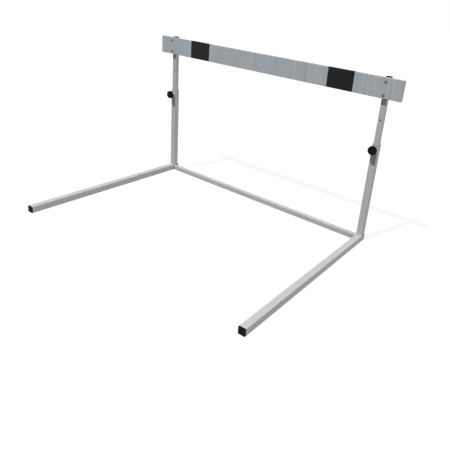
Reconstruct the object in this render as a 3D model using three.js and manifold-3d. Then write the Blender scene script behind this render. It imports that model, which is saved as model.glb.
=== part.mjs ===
// Adjustable track hurdle: a square-tube base whose two telescoping posts carry a crossboard.
// Millimetres, +Z up, +X along the crossboard. The legs reach forward, along -Y.
// The origin is on the floor, at the middle of the hurdle's length and depth.

import * as THREE from 'three';
import { mergeVertices } from 'three/addons/utils/BufferGeometryUtils.js';
import Module from 'manifold-3d';

const wasm = await Module();
wasm.setup();

// Crossboard: its top edge is the height that is jumped, given here for the middle setting
const crossingHeight = 655.5;
const boardLength = 1200;
const boardHeight = 75;
const boardThickness = 15;
const boardEdgeRadius = 1.5;

// Dark bands: thin film wrapped round the board, one towards each end
const bandWidth = 110;
const bandEndInset = 190;
const bandFilm = 0.25;
const bandCornerSlack = 0.5;

// Base: two legs on the floor, a cross tube between them, an outer post on each leg's rear end
const frameTube = 25;
const frameWall = 2;
const frameCornerRadius = 0.8;
const boardOverhang = 55;
const legLength = 766;
const outerPostLength = 385;
const crossTube = 20;
const crossWall = 1.5;
const crossCornerRadius = 0.8;

// Inner posts: they slide in the outer posts' bores
const slideClearance = 0.5;
const innerWall = 1.5;
const innerCornerRadius = 0.8;
const innerTopDrop = 1;

// Row of holes up each inner post, one for each height, and the post's length below the last
const postTail = 124;
const indexStep = 110;
const indexHole = 7;
const heightSettings = 3;

// Bolts that hold the board, two through each inner post, with a washer and a nut behind it
const boltDiameter = 6;
const boltPitch = 48;
const boltRowDrop = 1;
const boltHeadDiameter = 10.5;
const boltHeadHeight = 3.3;
const boltTail = 3.4;
const boltChamfer = 0.7;
const socketAcross = 4;
const socketDepth = 2;
const washerDiameter = 12;
const washerThickness = 1.5;
const nutAcross = 10;
const nutThickness = 5;

// Clamp on the front of each outer post: a weld nut, a threaded stud and a knob with a long neck
const clampDrop = 22;
const weldNutAcross = 13;
const weldNutThickness = 5;
const studDiameter = 8;
const studTipDiameter = 6;
const studTipLength = 2.5;
const studChamfer = 0.8;
const studGrip = 15;
const tipGap = 0.3;
const knobStandoff = 1;
const knobNeckDiameter = 14.5;
const knobNeckLength = 9.5;
const knobHubDiameter = 17;
const knobDiameter = 35;
const knobHeadThickness = 11.5;
const knobShoulder = 2.5;
const knobBackEdge = 1;
const knobFaceDiameter = 25;
const knobFaceRecess = 0.8;
const knobFlutes = 18;
const knobFluteDepth = 0.8;
const knobCavityDepth = 6.5;
const knobSkirtWall = 2.4;
const knobRibs = 6;
const knobRibThickness = 1.8;
const knobRibSetback = 1.5;

// Plastic plugs in the open tube ends: a head over the end and a hollow ribbed stem in the bore
const legPlugHead = 5;
const topPlugHead = 4.5;
const topPlugCrown = 2.6;
const guidePlugHead = 4;
const guidePlugProud = 0.2;
const plugEdge = 0.8;
const plugStemLength = 16;
const plugStemWall = 2;
const plugRibCount = 3;
const plugRibThickness = 1.2;
const plugRibReach = 1.8;
const plugDimpleShare = 0.62;
const plugDimpleDepth = 0.7;

// Gap kept round a piece inside another, and how far a cutter runs past the face that it cuts
const fitGap = 0.3;
const overrun = 1;

// Facets of an outline's rounded corner (half of them), a crown, a hole, a turned piece, a flute
const cornerHalfFacets = 2;
const crownFacets = 4;
const holeFacets = 20;
const roundFacets = 20;
const fluteFacets = 6;

// Places that follow from the sizes
const innerTube = frameTube - 2 * frameWall - 2 * slideClearance;
const baseWidth = boardLength - 2 * boardOverhang;
const bandCentre = (boardLength - bandWidth) / 2 - bandEndInset;
const postX = (baseWidth - frameTube) / 2;
const outerPostTop = frameTube + outerPostLength;
const clampZ = outerPostTop - clampDrop;
const innerFaceDepth = frameWall + slideClearance;
const innerPostTop = crossingHeight - innerTopDrop;
const lowestHoleZ = clampZ - indexStep * (heightSettings - 1) / 2;
const innerPostLength = innerPostTop - lowestHoleZ + postTail;
const boardCentreZ = crossingHeight - boardHeight / 2;
const boltRowZ = boardCentreZ - boltRowDrop;
const topPlugStem = innerPostTop - boltRowZ - boltPitch / 2 - boltDiameter;
const boltLength = boardThickness + innerTube + washerThickness + nutThickness + boltTail;
const boltEndDepth = innerFaceDepth - boardThickness + boltLength;
const frontReach = legLength - frameTube + legPlugHead;
const rearReach = Math.max(frameTube + legPlugHead, boltEndDepth);
const postFaceY = (frontReach - rearReach) / 2;
const postCentreY = postFaceY + frameTube / 2;
const quarterTurn = Math.PI / 2;

// Finishes
function paintedSteel() {
  return new THREE.MeshStandardMaterial({ color: 0xbababb, roughness: 0.45, metalness: 0.1 });
}

function boardGrey() {
  return new THREE.MeshStandardMaterial({ color: 0xb6bcc0, roughness: 0.6, metalness: 0 });
}

function blackFilm() {
  return new THREE.MeshStandardMaterial({ color: 0x1b1b1b, roughness: 0.5, metalness: 0 });
}

function blackPlastic() {
  return new THREE.MeshStandardMaterial({ color: 0x171717, roughness: 0.55, metalness: 0 });
}

function darkSteel() {
  return new THREE.MeshStandardMaterial({ color: 0x6a6a6c, roughness: 0.4, metalness: 0.1 });
}

function zincSteel() {
  return new THREE.MeshStandardMaterial({ color: 0xc4c6c8, roughness: 0.35, metalness: 0.9 });
}

// Solids: a closed surface with shared corners becomes a solid that can be joined and cut
function weld(geometry) {
  geometry.deleteAttribute('normal');
  geometry.deleteAttribute('uv');
  const merged = mergeVertices(geometry);
  const corners = merged.index.array;
  const kept = [];
  for (let i = 0; i < corners.length; i += 3) {
    const [a, b, c] = corners.slice(i, i + 3);
    if (a !== b && b !== c && c !== a) {
      kept.push(a, b, c);
    }
  }
  merged.setIndex(kept);
  return merged;
}

function solidOf(geometry) {
  const welded = weld(geometry);
  const mesh = new wasm.Mesh({
    numProp: 3,
    vertProperties: new Float32Array(welded.attributes.position.array),
    triVerts: new Uint32Array(welded.index.array),
  });
  return new wasm.Manifold(mesh);
}

function geometryOf(solid) {
  const { vertProperties, triVerts } = solid.getMesh();
  const geometry = new THREE.BufferGeometry();
  geometry.setAttribute('position', new THREE.BufferAttribute(vertProperties, 3));
  geometry.setIndex(new THREE.BufferAttribute(triVerts, 1));
  geometry.computeVertexNormals();
  return geometry;
}

function piece(name, solid, material) {
  const mesh = new THREE.Mesh(geometryOf(solid), material);
  mesh.name = name;
  return mesh;
}

// Outlines: a rectangle and a hexagon about the origin, each corner of the first one an arc
function roundedRectangle(width, height, radius) {
  const x = width / 2 - radius;
  const y = height / 2 - radius;
  const outline = new THREE.Shape();
  outline.absarc(x, y, radius, 0, quarterTurn, false);
  outline.absarc(-x, y, radius, quarterTurn, 2 * quarterTurn, false);
  outline.absarc(-x, -y, radius, 2 * quarterTurn, 3 * quarterTurn, false);
  outline.absarc(x, -y, radius, 3 * quarterTurn, 4 * quarterTurn, false);
  return outline;
}

function bevelledSquare(size, bevel) {
  const far = size / 2;
  const near = far - bevel;
  const corners = [];
  for (const [x, y] of [[far, near], [near, far]]) {
    corners.push([x, y], [-y, x], [-x, -y], [y, -x]);
  }
  corners.sort((a, b) => Math.atan2(a[1], a[0]) - Math.atan2(b[1], b[0]));
  return new THREE.Shape(corners.map(([x, y]) => new THREE.Vector2(x, y)));
}

function hexagon(across) {
  const reach = across / (2 * Math.cos(Math.PI / 6));
  const corners = [];
  for (let side = 0; side < 6; side += 1) {
    const angle = side * Math.PI / 3;
    corners.push(new THREE.Vector2(reach * Math.cos(angle), reach * Math.sin(angle)));
  }
  return new THREE.Shape(corners);
}

// Prism along +Z from z = from to z = from + length
function prism(outline, from, length) {
  const options = { depth: length, bevelEnabled: false, curveSegments: cornerHalfFacets };
  return solidOf(new THREE.ExtrudeGeometry(outline, options).translate(0, 0, from));
}

// Turned solid about the Z axis, from [radius, z] points that start and end on it
function turned(profile) {
  const points = profile.map(([radius, z]) => new THREE.Vector2(radius, z));
  return solidOf(new THREE.LatheGeometry(points, roundFacets).rotateX(quarterTurn));
}

// Round bar along Z, used for shanks and for cutting holes
function bar(diameter, from, length) {
  const geometry = new THREE.CylinderGeometry(diameter / 2, diameter / 2, length, holeFacets);
  return solidOf(geometry.rotateX(quarterTurn).translate(0, 0, from + length / 2));
}

// Hole across a post that stands along Z, bored from its front face backwards
function crossBore(diameter, frontY, depth, z) {
  const geometry = new THREE.CylinderGeometry(diameter / 2, diameter / 2, depth, holeFacets);
  return solidOf(geometry.translate(0, frontY + depth / 2, z));
}

// Solid through rings of equal point counts, closed by a flat fan at each end
function loft(rings) {
  const count = rings[0].length;
  const points = rings.flat();
  const triangles = [];
  for (let ring = 0; ring + 1 < rings.length; ring += 1) {
    for (let i = 0; i < count; i += 1) {
      const a = ring * count + i;
      const b = ring * count + (i + 1) % count;
      triangles.push(a, b, b + count, a, b + count, a + count);
    }
  }
  const last = (rings.length - 1) * count;
  const lowHub = points.length;
  const highHub = lowHub + 1;
  points.push(new THREE.Vector3(0, 0, rings[0][0].z));
  points.push(new THREE.Vector3(0, 0, rings.at(-1)[0].z));
  for (let i = 0; i < count; i += 1) {
    const next = (i + 1) % count;
    triangles.push(lowHub, next, i, highHub, last + i, last + next);
  }
  const geometry = new THREE.BufferGeometry().setFromPoints(points);
  geometry.setIndex(triangles);
  return solidOf(geometry);
}

// Square hollow tube along Z, open at both ends
function squareTube(size, wall, radius, length) {
  const outline = roundedRectangle(size, size, radius);
  const bore = size - 2 * wall;
  const boreRadius = radius * (bore / size) * (1 - wall / size);
  outline.holes.push(roundedRectangle(bore, bore, boreRadius));
  return prism(outline, 0, length);
}

// Base
function leg(side) {
  const tube = squareTube(frameTube, frameWall, frameCornerRadius, legLength);
  const mesh = piece(`${side.name}_leg`, tube, paintedSteel());
  mesh.rotation.x = -quarterTurn;
  mesh.position.set(side.x, postFaceY + frameTube - legLength, frameTube / 2);
  return mesh;
}

function crossTubeBetweenLegs() {
  const length = baseWidth - 2 * frameTube;
  const tube = squareTube(crossTube, crossWall, crossCornerRadius, length);
  const mesh = piece('cross_tube', tube, paintedSteel());
  mesh.rotation.y = quarterTurn;
  mesh.position.set(-length / 2, postFaceY + crossTube / 2, crossTube / 2);
  return mesh;
}

function outerPost(side) {
  const boreDiameter = studDiameter + 2 * fitGap;
  const tube = squareTube(frameTube, frameWall, frameCornerRadius, outerPostLength);
  const start = -frameTube / 2 - overrun;
  const studHole = crossBore(boreDiameter, start, frameWall + 2 * overrun, clampZ - frameTube);
  const mesh = piece(`${side.name}_outer_post`, tube.subtract(studHole), paintedSteel());
  mesh.position.set(side.x, postCentreY, frameTube);
  return mesh;
}

// Plugs: local +Z points out of the tube and z = 0 is the tube's end
function plugStem(bore, length) {
  const ribSize = bore - 2 * fitGap;
  const coreSize = ribSize - 2 * plugRibReach;
  const hollowSize = coreSize - 2 * plugStemWall;
  let stem = prism(bevelledSquare(coreSize, plugEdge), -length, length);
  const ribPitch = length / (plugRibCount + 1);
  for (let rib = 1; rib <= plugRibCount; rib += 1) {
    const z = rib * ribPitch - plugRibThickness / 2 - length;
    stem = stem.add(prism(bevelledSquare(ribSize, plugEdge), z, plugRibThickness));
  }
  const hollowDepth = length - plugStemWall;
  const hollow = bevelledSquare(hollowSize, plugEdge / 2);
  return stem.subtract(prism(hollow, -length - overrun, hollowDepth + overrun));
}

function squareRing(size, radius, z) {
  const outline = roundedRectangle(size, size, radius).getPoints(cornerHalfFacets);
  outline.pop();
  return outline.map((point) => new THREE.Vector3(point.x, point.y, z));
}

function edgedHead(size, radius, depth) {
  const flat = size - 2 * plugEdge;
  return loft([
    squareRing(size, radius, 0),
    squareRing(size, radius, depth - plugEdge),
    squareRing(flat, radius, depth),
  ]);
}

function crownedHead(size, radius, depth, crown) {
  const rings = [squareRing(size, radius, 0)];
  const steps = crownFacets + 1;
  for (let step = 0; step < steps; step += 1) {
    const angle = step / steps * quarterTurn;
    const width = size * Math.sqrt(Math.cos(angle));
    const z = depth - crown + crown * Math.sin(angle);
    rings.push(squareRing(width, radius * width / size, z));
  }
  return loft(rings);
}

function legPlug(name) {
  const dimple = frameTube * plugDimpleShare;
  const cut = prism(
    roundedRectangle(dimple, dimple, frameCornerRadius),
    legPlugHead - plugDimpleDepth,
    plugDimpleDepth + overrun,
  );
  const head = edgedHead(frameTube, frameCornerRadius, legPlugHead).subtract(cut);
  const plug = head.add(plugStem(frameTube - 2 * frameWall, plugStemLength));
  return piece(name, plug, blackPlastic());
}

function frontLegPlug(side) {
  const mesh = legPlug(`${side.name}_front_leg_plug`);
  mesh.rotation.x = quarterTurn;
  mesh.position.set(side.x, postFaceY + frameTube - legLength, frameTube / 2);
  return mesh;
}

function rearLegPlug(side) {
  const mesh = legPlug(`${side.name}_rear_leg_plug`);
  mesh.rotation.x = -quarterTurn;
  mesh.position.set(side.x, postFaceY + frameTube, frameTube / 2);
  return mesh;
}

// Inner posts
function innerPost(side) {
  let tube = squareTube(innerTube, innerWall, innerCornerRadius, innerPostLength);
  const bottomZ = innerPostTop - innerPostLength;
  const front = -innerTube / 2 - overrun;
  for (let setting = 0; setting < heightSettings; setting += 1) {
    const z = lowestHoleZ + setting * indexStep - bottomZ;
    tube = tube.subtract(crossBore(indexHole, front, innerWall + 2 * overrun, z));
  }
  for (const z of boltHeights()) {
    const depth = innerTube + 2 * overrun;
    tube = tube.subtract(crossBore(boltDiameter + 2 * fitGap, front, depth, z - bottomZ));
  }
  const mesh = piece(`${side.name}_inner_post`, tube, paintedSteel());
  mesh.position.set(side.x, postCentreY, bottomZ);
  return mesh;
}

function topPlug(side) {
  const head = crownedHead(innerTube, innerCornerRadius, topPlugHead, topPlugCrown);
  const plug = head.add(plugStem(innerTube - 2 * innerWall, topPlugStem));
  const mesh = piece(`${side.name}_top_plug`, plug, blackPlastic());
  mesh.position.set(side.x, postCentreY, innerPostTop);
  return mesh;
}

function guidePlug(side) {
  const size = innerTube + 2 * guidePlugProud;
  const head = edgedHead(size, innerCornerRadius, guidePlugHead);
  const plug = head.add(plugStem(innerTube - 2 * innerWall, plugStemLength));
  const mesh = piece(`${side.name}_guide_plug`, plug, blackPlastic());
  mesh.rotation.x = 2 * quarterTurn;
  mesh.position.set(side.x, postCentreY, innerPostTop - innerPostLength);
  return mesh;
}

// Crossboard: local Z runs along the board and local X down its height
function boltHeights() {
  return [boltRowZ - boltPitch / 2, boltRowZ + boltPitch / 2];
}

function boardY() {
  return postFaceY + innerFaceDepth - boardThickness / 2;
}

function alongBoard(mesh, fromX) {
  mesh.rotation.y = quarterTurn;
  mesh.position.set(fromX, boardY(), boardCentreZ);
  return mesh;
}

function crossboard() {
  const outline = roundedRectangle(boardHeight, boardThickness, boardEdgeRadius);
  let board = prism(outline, 0, boardLength);
  for (const side of [-1, 1]) {
    for (const z of boltHeights()) {
      const diameter = boltDiameter + 2 * fitGap;
      const depth = boardThickness + 2 * overrun;
      const bore = crossBore(diameter, -depth / 2, depth, boardLength / 2 + side * postX);
      board = board.subtract(bore.translate(boardCentreZ - z, 0, 0));
    }
  }
  return alongBoard(piece('crossboard', board, boardGrey()), -boardLength / 2);
}

function band(side) {
  const height = boardHeight + 2 * bandFilm;
  const thickness = boardThickness + 2 * bandFilm;
  const outline = roundedRectangle(height, thickness, boardEdgeRadius);
  const slackRadius = boardEdgeRadius - bandCornerSlack;
  outline.holes.push(roundedRectangle(boardHeight, boardThickness, slackRadius));
  const film = prism(outline, 0, bandWidth);
  const centre = side.sign * bandCentre;
  return alongBoard(piece(`${side.name}_band`, film, blackFilm()), centre - bandWidth / 2);
}

// Fasteners: local +Z points to the front of the hurdle, z = 0 is the face that they sit on
function boardBolt(name) {
  const radius = boltDiameter / 2;
  const headRadius = boltHeadDiameter / 2;
  const shoulder = boltHeadHeight / 4;
  const profile = [
    [0, -boltLength],
    [radius - boltChamfer, -boltLength],
    [radius, boltChamfer - boltLength],
    [radius, 0],
    [headRadius, 0],
  ];
  const steps = crownFacets;
  for (let step = 0; step <= steps; step += 1) {
    const angle = step / steps * quarterTurn;
    const crown = boltHeadHeight - shoulder;
    profile.push([headRadius * Math.cos(angle), shoulder + crown * Math.sin(angle)]);
  }
  profile[profile.length - 1][0] = 0;
  const floor = boltHeadHeight - socketDepth;
  const socket = prism(hexagon(socketAcross), floor, socketDepth + overrun);
  return piece(name, turned(profile).subtract(socket), darkSteel());
}

function hexNut(across, thickness, bore) {
  const corner = across / (2 * Math.cos(Math.PI / 6));
  const drop = corner - across / 2;
  const rounding = turned([
    [0, 0],
    [across / 2, 0],
    [corner, drop],
    [corner, thickness - drop],
    [across / 2, thickness],
    [0, thickness],
  ]);
  const blank = prism(hexagon(across), 0, thickness).intersect(rounding);
  return blank.subtract(bar(bore, -overrun, thickness + 2 * overrun));
}

function boardNut(name) {
  return piece(name, hexNut(nutAcross, nutThickness, boltDiameter + 2 * fitGap), zincSteel());
}

function boardWasher(name) {
  const disc = bar(washerDiameter, 0, washerThickness);
  const bore = bar(boltDiameter + 2 * fitGap, -overrun, washerThickness + 2 * overrun);
  return piece(name, disc.subtract(bore), zincSteel());
}

function boardFasteners(side) {
  const group = new THREE.Group();
  const levels = ['lower', 'upper'];
  const frontY = boardY() - boardThickness / 2;
  const washerY = postFaceY + innerFaceDepth + innerTube + washerThickness;
  boltHeights().forEach((z, row) => {
    const label = `${side.name}_${levels[row]}`;
    const placed = [
      [boardBolt(`${label}_bolt`), frontY],
      [boardWasher(`${label}_washer`), washerY],
      [boardNut(`${label}_nut`), washerY + nutThickness],
    ];
    for (const [mesh, y] of placed) {
      mesh.rotation.x = quarterTurn;
      mesh.position.set(side.x, y, z);
      group.add(mesh);
    }
  });
  return group;
}

// Clamp: local +Z points forward, z = 0 is the front face of the outer post
function weldNut(side) {
  const solid = hexNut(weldNutAcross, weldNutThickness, studDiameter + 2 * fitGap);
  return piece(`${side.name}_weld_nut`, solid, paintedSteel());
}

function clampStud(side) {
  const tipZ = tipGap - innerFaceDepth;
  const headZ = weldNutThickness + knobStandoff + studGrip;
  const radius = studDiameter / 2;
  const solid = turned([
    [0, tipZ],
    [studTipDiameter / 2, tipZ],
    [studTipDiameter / 2, tipZ + studTipLength],
    [radius - studChamfer, tipZ + studTipLength],
    [radius, tipZ + studTipLength + studChamfer],
    [radius, headZ - studChamfer],
    [radius - studChamfer, headZ],
    [0, headZ],
  ]);
  return piece(`${side.name}_clamp_stud`, solid, zincSteel());
}

function flutedRing(radius, fluteShare, z) {
  const count = knobFlutes * fluteFacets;
  const ring = [];
  for (let i = 0; i < count; i += 1) {
    const angle = i / count * 4 * quarterTurn;
    const dip = (1 + Math.cos(knobFlutes * angle)) / 2;
    const reach = radius - fluteShare * knobFluteDepth * dip;
    ring.push(new THREE.Vector3(reach * Math.cos(angle), reach * Math.sin(angle), z));
  }
  return ring;
}

function knobHead() {
  const radius = knobDiameter / 2;
  const top = knobNeckLength + knobHeadThickness;
  const rings = [
    flutedRing(radius - knobBackEdge, 1, knobNeckLength),
    flutedRing(radius, 1, knobNeckLength + knobBackEdge),
  ];
  const steps = crownFacets;
  for (let step = 0; step <= steps; step += 1) {
    const angle = step / steps * quarterTurn;
    const inset = knobShoulder * (1 - Math.cos(angle));
    const rise = knobShoulder * Math.sin(angle);
    rings.push(flutedRing(radius - inset, 1 - step / steps, top - knobShoulder + rise));
  }
  const cavityDiameter = knobDiameter - 2 * knobSkirtWall - 2 * knobFluteDepth;
  const cavity = bar(cavityDiameter, knobNeckLength - overrun, knobCavityDepth + overrun);
  const face = bar(knobFaceDiameter, top - knobFaceRecess, knobFaceRecess + overrun);
  return loft(rings).subtract(cavity).subtract(face);
}

function knobNeck() {
  const hubTop = knobNeckLength + knobCavityDepth + knobFaceRecess;
  return turned([
    [0, 0],
    [knobNeckDiameter / 2, 0],
    [knobHubDiameter / 2, knobNeckLength],
    [knobHubDiameter / 2, hubTop],
    [0, hubTop],
  ]);
}

function knobRib(index) {
  const reach = knobDiameter / 2 - knobSkirtWall / 2;
  const depth = knobCavityDepth - knobRibSetback;
  const geometry = new THREE.BoxGeometry(reach, knobRibThickness, depth);
  geometry.translate(reach / 2, 0, knobNeckLength + knobRibSetback + depth / 2);
  geometry.rotateZ((index + 1 / 2) / knobRibs * 4 * quarterTurn);
  return solidOf(geometry);
}

function clampKnob(side) {
  const boreDiameter = studDiameter + 2 * fitGap;
  let knob = knobHead().add(knobNeck());
  for (let index = 0; index < knobRibs; index += 1) {
    knob = knob.add(knobRib(index));
  }
  knob = knob.subtract(bar(boreDiameter, -overrun, studGrip + fitGap + overrun));
  const mesh = piece(`${side.name}_knob`, knob, blackPlastic());
  mesh.position.z = weldNutThickness + knobStandoff;
  return mesh;
}

function clamp(side) {
  const group = new THREE.Group();
  group.rotation.x = quarterTurn;
  group.position.set(side.x, postFaceY, clampZ);
  group.add(weldNut(side), clampStud(side), clampKnob(side));
  return group;
}

// Assembly
function base(sides) {
  const group = new THREE.Group();
  group.add(crossTubeBetweenLegs());
  for (const side of sides) {
    group.add(leg(side), frontLegPlug(side), rearLegPlug(side), outerPost(side));
  }
  return group;
}

function carriage(sides) {
  const group = new THREE.Group();
  group.add(crossboard());
  for (const side of sides) {
    group.add(innerPost(side), topPlug(side), guidePlug(side), band(side));
    group.add(boardFasteners(side));
  }
  return group;
}

const sides = [
  { name: 'left', sign: -1, x: -postX },
  { name: 'right', sign: 1, x: postX },
];
const hurdle = new THREE.Group();
hurdle.add(base(sides), carriage(sides), ...sides.map(clamp));

export default hurdle;
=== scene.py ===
"""Dresses an adjustable track hurdle: painted square tube, a streaked crossboard with two dark
bands, hand clamps on the posts, and the studio that it stands in. Metres, +Z up, +X along the
board; the legs reach forward, along -Y.
"""

import logging
import math
from abc import ABC, abstractmethod
from collections.abc import Iterable, Iterator, Sequence
from dataclasses import dataclass
from enum import Enum

import bmesh
import bpy
from mathutils import Matrix, Quaternion, Vector


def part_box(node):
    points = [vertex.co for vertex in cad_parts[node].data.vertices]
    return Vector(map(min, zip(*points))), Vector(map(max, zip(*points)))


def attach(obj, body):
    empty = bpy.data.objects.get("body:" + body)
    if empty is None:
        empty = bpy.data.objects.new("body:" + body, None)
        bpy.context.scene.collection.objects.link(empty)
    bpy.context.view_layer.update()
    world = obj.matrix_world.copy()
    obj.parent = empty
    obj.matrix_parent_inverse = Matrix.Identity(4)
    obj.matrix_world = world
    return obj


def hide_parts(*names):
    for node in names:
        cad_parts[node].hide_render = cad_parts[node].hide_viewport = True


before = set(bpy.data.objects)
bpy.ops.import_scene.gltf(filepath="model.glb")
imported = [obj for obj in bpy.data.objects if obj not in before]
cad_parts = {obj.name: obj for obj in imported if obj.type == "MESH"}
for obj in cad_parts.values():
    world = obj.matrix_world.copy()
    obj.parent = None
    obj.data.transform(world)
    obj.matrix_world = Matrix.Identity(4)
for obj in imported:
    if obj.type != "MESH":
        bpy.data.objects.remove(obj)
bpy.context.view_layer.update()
LOG = logging.getLogger("track_hurdle")

Ring = list[Vector]
Socket = bpy.types.NodeSocket
Span = tuple[float, float]
Colour = tuple[float, float, float]
Place = tuple[float, float, float]

FULL_TURN = 2 * math.pi
QUARTER_TURN = math.pi / 2
WHITE: Colour = (1.0, 1.0, 1.0)
WHOLE: Span = (0.0, 1.0)


class Side(Enum):
    """End of the hurdle that a piece belongs to."""

    LEFT = "left"
    RIGHT = "right"

    def of(self, piece: str) -> str:
        """Name of this side's own piece."""
        return f"{self.value}_{piece}"


class Level(Enum):
    """Row of the board bolts."""

    LOWER = "lower"
    UPPER = "upper"


class Body(Enum):
    """Rigid group that moves as one; clamp pieces have one for each side."""

    BASE = "base"
    CARRIAGE = "carriage"
    STUD = "stud"
    KNOB = "knob"


class Slot(Enum):
    """Finish slot of the hurdle's record."""

    PAINTED_STEEL = "painted_steel"
    BOARD_GREY = "board_grey"
    BLACK_FILM = "black_film"
    BLACK_PLASTIC = "black_plastic"
    FASTENER_STEEL = "fastener_steel"
    DARK_STEEL = "dark_steel"


class Facing(Enum):
    """Way that a piece's own Z axis points, given by its own X and Y axes on the hurdle."""

    UP = ((1, 0, 0), (0, 1, 0))
    DOWN = ((1, 0, 0), (0, -1, 0))
    FRONT = ((1, 0, 0), (0, 0, 1))
    REAR = ((1, 0, 0), (0, 0, -1))
    RIGHT = ((0, 1, 0), (0, 0, 1))

    @property
    def axis(self) -> int:
        """Index of the hurdle's axis that the piece's own Z axis lies along."""
        return next(index for index, parts in enumerate(zip(*self.value)) if not any(parts))

    def at(self, origin: Sequence[float]) -> Matrix:
        """Places a piece.

        Args:
            origin: where the piece's own origin lies on the hurdle.

        Returns:
            The matrix from the piece's own axes to the hurdle's.
        """
        across, upward = (Vector(axis) for axis in self.value)
        turned = Matrix((across, upward, across.cross(upward))).transposed()
        return Matrix.Translation(Vector(origin)) @ turned.to_4x4()


class Carving(Enum):
    """What a second solid does to the first."""

    CUT = "DIFFERENCE"
    JOIN = "UNION"
    COMMON = "INTERSECT"


@dataclass(frozen=True)
class Room:
    """Space that a piece's solid takes up on the hurdle."""

    low: Vector
    high: Vector

    @classmethod
    def of(cls, node: str) -> "Room":
        """Space of one solid of the frame, by its name."""
        return cls(*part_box(node))

    @property
    def centre(self) -> Vector:
        """Middle of the space."""
        return (self.low + self.high) / 2

    @property
    def size(self) -> Vector:
        """Extent along each axis."""
        return self.high - self.low

    def seat(self, facing: Facing, along: float) -> Matrix:
        """Seats a piece on a line through the middle of the space.

        Args:
            facing: way that the piece points, which the line follows.
            along: where the piece's own origin lies on the line.

        Returns:
            The matrix from the piece's own axes to the hurdle's.
        """
        origin = self.centre
        origin[facing.axis] = along
        return facing.at(origin)


def quarter_arc(steps: int) -> Iterator[Span]:
    """Goes round a quarter of a circle.

    Args:
        steps: even steps from its start to its end.

    Yields:
        The sine and the cosine at each step, both ends included.
    """
    for step in range(steps + 1):
        angle = step / steps * QUARTER_TURN
        yield math.sin(angle), math.cos(angle)


def ease(share: float) -> float:
    """Smooth rise from 0 to 1, level at both ends, as its share goes from 0 to 1."""
    return (1 - math.cos(share * math.pi)) / 2


class Outline:
    """Closed outlines that the hurdle's sections are made from, as rings of points."""

    @staticmethod
    def pole(z: float) -> Ring:
        """Single point on the axis, which closes a turned form."""
        return [Vector((0, 0, z))]

    @staticmethod
    def circle(radius: float, z: float, points: int) -> Ring:
        """Round outline of a given radius and point count at a height."""
        angles = (FULL_TURN * i / points for i in range(points))
        return [Vector((radius * math.cos(a), radius * math.sin(a), z)) for a in angles]

    @staticmethod
    def turned(profile: Iterable[Span], points: int) -> list[Ring]:
        """Round outlines of a turned form, from the radius and height of each."""
        return [Outline.circle(radius, z, points) for radius, z in profile]

    @staticmethod
    def hexagon(across: float, z: float) -> Ring:
        """Six-sided outline, measured across its flats."""
        return Outline.circle(across / math.sqrt(3), z, 6)

    @staticmethod
    def rectangle(width: float, height: float, radius: float, z: float, steps: int = 6) -> Ring:
        """Makes a rectangle with round corners.

        Args:
            width: extent along the ring's X axis.
            height: extent along its Y axis.
            radius: of each corner.
            z: height of the ring.
            steps: straight stretches in each corner.

        Returns:
            The points, anticlockwise, (steps + 1) for each corner.
        """
        ring = []
        for corner, (right, up) in enumerate(((1, 1), (-1, 1), (-1, -1), (1, -1))):
            x = right * (width / 2 - radius)
            y = up * (height / 2 - radius)
            for step in range(steps + 1):
                angle = (corner + step / steps) * QUARTER_TURN
                ring.append(Vector((x + radius * math.cos(angle), y + radius * math.sin(angle), z)))
        return ring

    @staticmethod
    def square(width: float, radius: float, z: float) -> Ring:
        """Square with round corners."""
        return Outline.rectangle(width, width, radius, z)


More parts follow.
